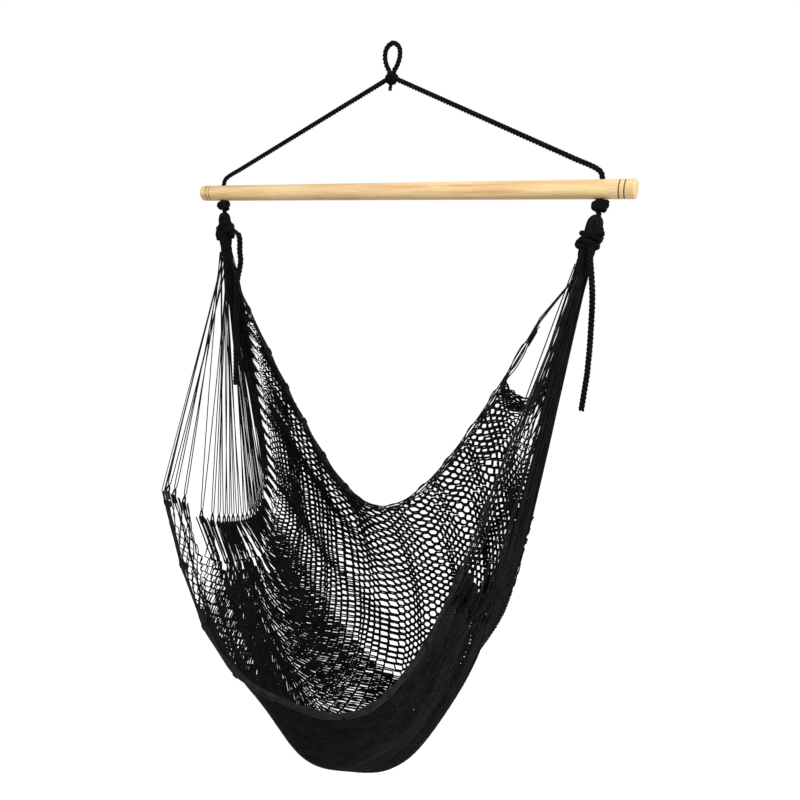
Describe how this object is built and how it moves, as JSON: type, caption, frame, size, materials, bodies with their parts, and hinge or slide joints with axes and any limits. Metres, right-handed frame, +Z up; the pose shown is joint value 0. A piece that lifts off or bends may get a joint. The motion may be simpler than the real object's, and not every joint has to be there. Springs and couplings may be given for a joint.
{
  "type": "hammock chair",
  "caption": "Hanging chair: a knotted cotton net seat slung from a round wooden spreader bar, with rope bridle, top knot and hanging loop.",
  "frame": {"origin": "inner top of the hanging loop, where the chair hangs", "axes": "+Z up, X along the spreader bar, -Y the open front of the seat"},
  "size_m": [1, 0.5259, 1.5988],
  "materials": {
    "rope": "twisted black cotton rope",
    "net": "knotted black cotton netting",
    "edging": "bundled black cotton selvage",
    "wood": "light hardwood, satin, burnt ring grooves"
  },
  "bodies": {
    "hanger": {"hanging_loop": "rope"},
    "knot": {"top_knot": "rope", "top_knot_tail": "rope"},
    "bridle": {"bridle_rope_left": "rope", "bridle_rope_right": "rope", "spreader_bar": "wood", "stopper_knot_left": "rope", "stopper_knot_right": "rope"},
    "seat": {"neck_rope_left": "rope", "arm_eye_left": "rope", "hitch_knot_left": "rope", "arm_whipping_left": "rope", "arm_strings_left": "rope", "neck_rope_right": "rope", "arm_eye_right": "rope", "hitch_knot_right": "rope", "arm_whipping_right": "rope", "arm_strings_right": "rope", "net_body": "net", "back_edge_cord": "edging", "front_edge_cord": "edging", "back_edge_tie_1": "edging", "back_edge_tie_2": "edging", "back_edge_tie_3": "edging", "back_edge_tie_4": "edging", "back_edge_tie_5": "edging", "back_edge_tie_6": "edging", "back_edge_tie_7": "edging", "back_edge_tie_8": "edging", "back_edge_tie_9": "edging", "back_edge_tie_10": "edging", "back_edge_tie_11": "edging", "back_edge_tie_12": "edging", "back_edge_tie_13": "edging", "front_edge_tie_1": "edging", "front_edge_tie_2": "edging", "front_edge_tie_3": "edging", "front_edge_tie_4": "edging", "front_edge_tie_5": "edging", "front_edge_tie_6": "edging", "front_edge_tie_7": "edging", "front_edge_tie_8": "edging", "front_edge_tie_9": "edging"},
    "tail_left": {"rope_tail_left": "rope"},
    "tail_right": {"rope_tail_right": "rope"}
  },
  "joints": [
    {"name": "side_sway", "type": "hinge", "parent": "hanger", "child": "knot", "pos_m": [0, 0, -0.06], "axis": [0, 1, 0], "range_deg": [-15, 15]},
    {"name": "swing", "type": "hinge", "parent": "knot", "child": "bridle", "pos_m": [0, 0, -0.06], "axis": [1, 0, 0], "range_deg": [-35, 35]},
    {"name": "seat_swing", "type": "hinge", "parent": "bridle", "child": "seat", "pos_m": [0, 0, -0.3095], "axis": [1, 0, 0], "range_deg": [-25, 25]},
    {"name": "tail_left_swing", "type": "hinge", "parent": "seat", "child": "tail_left", "pos_m": [-0.355, -0.045, -0.3755], "axis": [1, 0, 0], "range_deg": [-40, 2]},
    {"name": "tail_right_swing", "type": "hinge", "parent": "seat", "child": "tail_right", "pos_m": [0.438, -0.03, -0.3955], "axis": [1, 0, 0], "range_deg": [-40, 12]}
  ]
}
